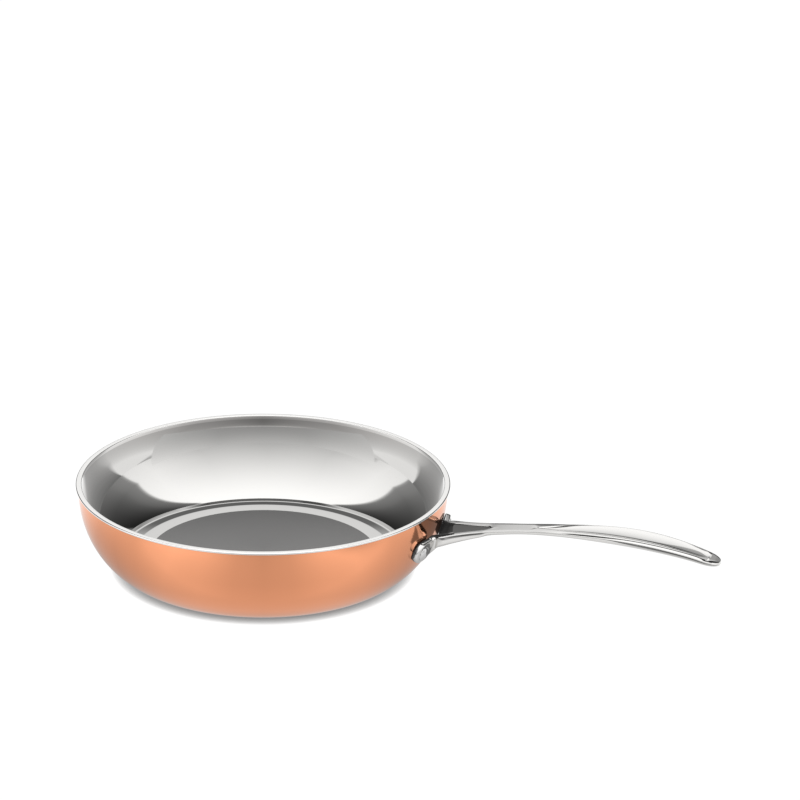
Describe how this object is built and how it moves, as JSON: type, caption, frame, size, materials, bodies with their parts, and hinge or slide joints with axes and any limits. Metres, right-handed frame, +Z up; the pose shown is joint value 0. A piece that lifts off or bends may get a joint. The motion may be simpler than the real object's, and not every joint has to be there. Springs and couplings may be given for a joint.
{
  "type": "frying pan",
  "caption": "Open frying pan with a copper outside, a polished steel inside with a turned-out lip, and a long forked steel handle riveted to the wall.",
  "frame": {"origin": "centre of the flat base, on the surface that the pan stands on", "axes": "+Z up through the middle of the pan, +X from the middle of the pan along the handle"},
  "size_m": [0.4939, 0.28, 0.067],
  "materials": {
    "polished_copper": "polished copper, warm pink-orange, no lacquer",
    "core_aluminium": "plain mill aluminium, hidden between the skins",
    "liner_steel": "polished stainless steel, with fine circular brushing on the middle of the floor",
    "cast_steel": "polished stainless casting",
    "rivet_steel": "polished stainless steel"
  },
  "bodies": {
    "root": {"copper_shell": "polished_copper", "aluminium_core": "core_aluminium", "steel_liner": "liner_steel", "handle": "cast_steel", "rivet_near": "rivet_steel", "rivet_far": "rivet_steel"}
  },
  "joints": []
}
